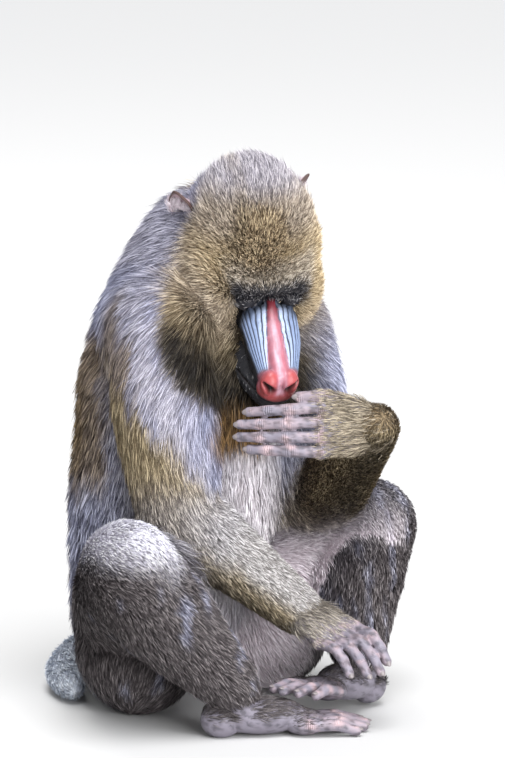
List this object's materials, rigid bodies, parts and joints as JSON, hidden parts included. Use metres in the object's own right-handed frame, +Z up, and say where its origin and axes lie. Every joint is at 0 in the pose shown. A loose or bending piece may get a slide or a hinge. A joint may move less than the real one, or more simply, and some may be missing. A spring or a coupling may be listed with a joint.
{
  "type": "mandrill",
  "caption": "Life-size still model of a seated adult female mandrill, head bowed, left hand held under her muzzle and right hand reaching down to her feet.",
  "frame": {"origin": "middle of the bounding box, on the floor the animal sits on", "axes": "+Z up, -Y the way the body faces, +X the animal's left"},
  "size_m": [0.3658, 0.3534, 0.5219],
  "materials": {
    "fur_olive": "olive-gold speckled coat over dark roots, matt",
    "fur_grey": "long silky grey to lavender-grey coat",
    "fur_pale": "thin pale belly coat",
    "skin_blue": "bare ridged grey-blue skin with a red nose ridge, satin",
    "skin_hand": "bare grey-violet wrinkled skin, satin",
    "skin_ear": "bare pinkish skin, satin",
    "eye_brown": "dark brown iris under a clear glossy surface"
  },
  "bodies": {
    "root": {"head": "fur_olive", "muzzle": "skin_blue", "lower_jaw": "fur_olive", "eye_left": "eye_brown", "ear_left": "skin_ear", "eye_right": "eye_brown", "ear_right": "skin_ear", "neck": "fur_grey", "chest": "fur_grey", "abdomen": "fur_pale", "pelvis": "fur_grey", "tail": "fur_grey", "seat_pad_left": "skin_ear", "upper_arm_left": "fur_olive", "forearm_left": "fur_olive", "hand_left": "skin_hand", "finger_1_left": "skin_hand", "finger_2_left": "skin_hand", "finger_3_left": "skin_hand", "finger_4_left": "skin_hand", "thumb_left": "skin_hand", "thigh_left": "fur_grey", "shin_left": "fur_grey", "foot_left": "skin_hand", "toe_1_left": "skin_hand", "toe_2_left": "skin_hand", "toe_3_left": "skin_hand", "toe_4_left": "skin_hand", "big_toe_left": "skin_hand", "seat_pad_right": "skin_ear", "upper_arm_right": "fur_olive", "forearm_right": "fur_olive", "hand_right": "skin_hand", "finger_1_right": "skin_hand", "finger_2_right": "skin_hand", "finger_3_right": "skin_hand", "finger_4_right": "skin_hand", "thumb_right": "skin_hand", "thigh_right": "fur_grey", "shin_right": "fur_grey", "foot_right": "skin_hand", "toe_1_right": "skin_hand", "toe_2_right": "skin_hand", "toe_3_right": "skin_hand", "toe_4_right": "skin_hand", "big_toe_right": "skin_hand"}
  },
  "joints": []
}
